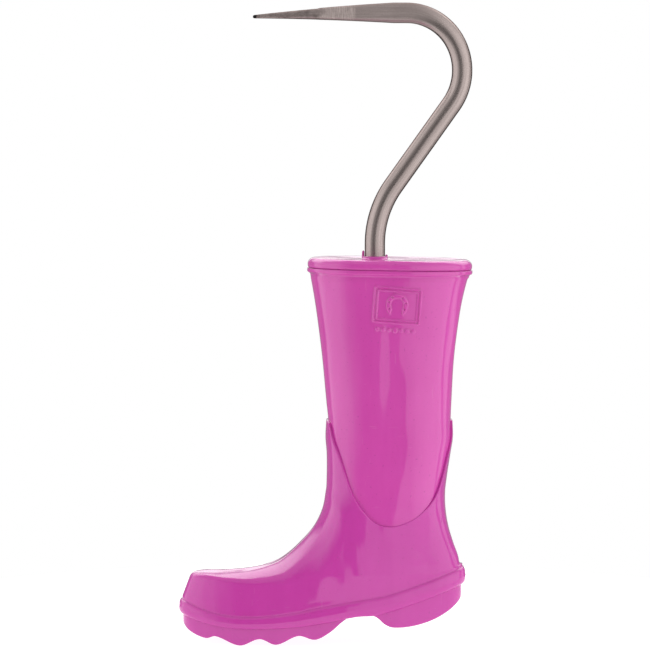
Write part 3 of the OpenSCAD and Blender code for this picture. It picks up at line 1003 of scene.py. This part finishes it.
def add_camera():
    camera = bpy.data.objects.new("camera", bpy.data.cameras.new("camera"))
    bpy.context.scene.collection.objects.link(camera)
    camera.location = Vector(CAMERA_PLACE) * MM
    look = Vector(CAMERA_TARGET) * MM - camera.location
    camera.rotation_mode = "QUATERNION"
    camera.rotation_quaternion = look.to_track_quat("-Z", "Y")
    camera.data.lens = CAMERA_LENS
    camera.data.sensor_width = 36
    camera.data.clip_start = 0.01
    bpy.context.scene.camera = camera


# ---- materials ----

PINK_DEEP = (0.553, 0.051, 0.347)
PINK_PALE = (0.600, 0.066, 0.380)
# Painted shade: a darker copy of the same pink, for the foot, sole, heel and plate
FOOT_SHADED_DEEP = (0.492, 0.034, 0.315)
FOOT_SHADED_PALE = (0.535, 0.043, 0.345)
HAIRLINE = (0.8, 0.5, 0.7)
SPECK = (0.30, 0.03, 0.19)

STEEL_MID = (0.345, 0.288, 0.275)
STEEL_DARK = (0.2, 0.162, 0.155)
STEEL_PALE = (0.455, 0.385, 0.365)
# Steel at a grazing view, which gives the bar its dark outline
STEEL_EDGE = (0.12, 0.1, 0.1, 1.0)
POINT_BLACK = (0.02, 0.018, 0.018)


def principled(name):
    """A material with one shader, its node tree and the shader."""
    material = bpy.data.materials.new(name)
    material.use_nodes = True
    tree = Nodes(material.node_tree)
    shader = tree.new("BsdfPrincipled")
    tree.put(shader.outputs[0], tree.new("OutputMaterial").inputs[0])
    return material, tree, shader


def pink_plastic(name, deep, pale):
    """Glossy moulded plastic: cloudy pigment, flow marks, an uneven skin, scuffs, hairlines and specks.

    Scales are per metre and distances in metres."""
    material, tree, shader = principled(name)
    place = tree.new("TexCoord").outputs["Object"]
    cloud = tree.noise(place, 55.0, 3.0)
    flow = tree.drawn_noise(place, (260.0, 260.0, 30.0))
    tone = tree.plus(tree.times(cloud, 0.6), tree.times(flow, 0.4))
    base = tree.colour(tree.spread(tone, 0.0, 1.0), deep, pale)
    scuff = tree.drawn_noise(place, (900.0, 900.0, 60.0), (0.3, 0.5, 0.2), 3.0, 0.6)
    hair_up = tree.drawn_noise(place, (2400.0, 2400.0, 70.0), (0.25, 0.35, 0.0), 1.0)
    hair_along = tree.drawn_noise(place, (90.0, 2200.0, 2200.0), (0.2, 0.6, 0.1), 1.0)
    hair_up = tree.math("GREATER_THAN", hair_up, 0.76)
    hair = tree.plus(hair_up, tree.math("GREATER_THAN", hair_along, 0.77))
    speck = tree.math("GREATER_THAN", tree.noise(place, 2100.0, 0.0), 0.80)
    base = tree.colour(tree.times(hair, 0.04), base, HAIRLINE)
    base = tree.colour(tree.times(speck, 0.35), base, SPECK)
    tree.put(base, shader.inputs["Base Color"])
    worn = tree.plus(tree.spread(cloud, 0.04, 0.07), tree.times(tree.spread(scuff, 0.0, 1.0), 0.035))
    tree.put(tree.plus(worn, tree.times(hair, 0.08)), shader.inputs["Roughness"])
    shader.inputs["IOR"].default_value = 1.56
    shader.inputs["Subsurface Weight"].default_value = 0.12
    shader.inputs["Subsurface Radius"].default_value = (1.0, 0.25, 0.6)
    shader.inputs["Subsurface Scale"].default_value = 0.0012
    swell = tree.bump(tree.drawn_noise(place, (85.0, 85.0, 34.0), detail=1.5), 0.0018, 0.65)
    ripple = tree.bump(tree.drawn_noise(place, (420.0, 420.0, 45.0), detail=1.0), 0.00009, 0.4, swell)
    orange_peel = tree.bump(tree.noise(place, 900.0), 0.000006, 0.5, ripple)
    marks = tree.bump(tree.math("SUBTRACT", speck, hair), 0.000015, 0.5, orange_peel)
    tree.put(marks, shader.inputs["Normal"])
    return material


def brushed_steel(grind_start, grind_end, pick_start, tip_end):
    """Drawn and tumbled steel: streaks along the bar, fine grain, grinding marks across the pick, stains.

    The four places are lengths along the bar in millimetres, and scales are per millimetre."""
    material, tree, shader = principled("brushed_steel")
    place = tree.new("Attribute", attribute_name="strand").outputs["Vector"]
    along = tree.split(place)[0]
    past_tip = tip_end + 5

    def stretch(low, high, soft):
        """1 on a stretch of the bar and 0 off it, with soft ends."""
        rise = tree.between(along, low - soft, low + soft, 0.0, 1.0, "SMOOTHSTEP")
        fall = tree.between(along, high + soft, high - soft, 0.0, 1.0, "SMOOTHSTEP")
        return tree.times(rise, fall)

    streaks = tree.drawn_noise(place, (0.07, 3.4, 3.4), detail=3.0)
    grain = tree.drawn_noise(place, (4.5, 6.5, 6.5), roughness=0.65)
    blotch = tree.drawn_noise(place, (0.5, 0.8, 0.8), detail=3.0, roughness=0.6)
    across = tree.drawn_noise(place, (4.6, 0.35, 0.35), roughness=0.6)
    on_pick = stretch(pick_start - 9, past_tip, 5.0)
    ground = stretch(grind_start, grind_end, 0.7)
    stained = stretch(grind_end - 1, past_tip, 1.5)
    point = stretch(tip_end - 0.9, past_tip, 0.2)

    tone = tree.plus(tree.times(streaks, 0.45), tree.times(grain, 0.55))
    base = tree.colour(tree.spread(tone, 0.0, 1.0), STEEL_DARK, STEEL_PALE)
    base = tree.colour(0.35, base, STEEL_MID)
    base = tree.colour(tree.times(on_pick, 0.1), base, STEEL_DARK)
    scored = tree.times(tree.spread(across, -0.2, 1.0), tree.times(ground, 0.8))
    base = tree.colour(scored, base, STEEL_PALE)
    stain = tree.times(tree.spread(blotch, -0.6, 1.5), tree.times(stained, 0.85))
    base = tree.colour(tree.math("MAXIMUM", stain, 0.0), base, STEEL_DARK)
    base = tree.colour(point, base, POINT_BLACK)
    tree.put(base, shader.inputs["Base Color"])
    shader.inputs["Metallic"].default_value = 1.0
    shader.inputs["Specular Tint"].default_value = STEEL_EDGE
    rough = tree.plus(tree.spread(grain, 0.20, 0.28), tree.times(on_pick, 0.22))
    tree.put(rough, shader.inputs["Roughness"])
    pits = tree.bump(grain, 0.00003, 0.4)
    lines = tree.bump(streaks, 0.00006, 0.35, pits)
    ridges = tree.bump(tree.times(across, ground), 0.00025, 0.8, lines)
    tree.put(ridges, shader.inputs["Normal"])
    return material


# ---- the whole ----


def main():
    bpy.context.scene.view_settings.view_transform = "Standard"
    studio_world()
    add_floor()
    add_camera()
    pink = pink_plastic("pink_plastic", PINK_DEEP, PINK_PALE)
    # painted shade: a darker copy of the pink for the foot, sole, heel and plate
    shaded_pink = pink_plastic("pink_plastic_foot_shaded", FOOT_SHADED_DEEP, FOOT_SHADED_PALE)
    hook, pick_start, length_at = hook_piece()
    ground = length_at(GRIND_FROM_X), length_at(GRIND_TO_X)
    steel = brushed_steel(*ground, pick_start, length_at(PICK_TIP_X))
    made = {
        "hook": hook,
        "cuff_cap": cap_piece(),
        "leg_shell": leg_piece(),
        "foot_shell": foot_piece(),
        "forepart_sole": under_piece("sole", LUGS, TOE_X, SOLE_END_X),
        "heel_block": under_piece("heel", TREAD, HEEL_START_X, HEEL_X),
        "bottom_plate": plate_piece(),
    }
    for node, piece in made.items():
        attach(piece, "root")
        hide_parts(node)
    flash = fins_piece()
    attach(flash, "root")
    for piece in [*made.values(), flash]:
        is_steel = piece is hook
        # the foot, sole, heel and plate take the darker copy of the pink, which is painted shade
        plastic = shaded_pink if piece.name in ("foot", "sole", "heel", "plate") else pink
        piece.data.materials.append(steel if is_steel else plastic)
    for name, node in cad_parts.items():
        node.data.materials.clear()
        node.data.materials.append(steel if name in ("hook", "tang_pin") else pink)


main()
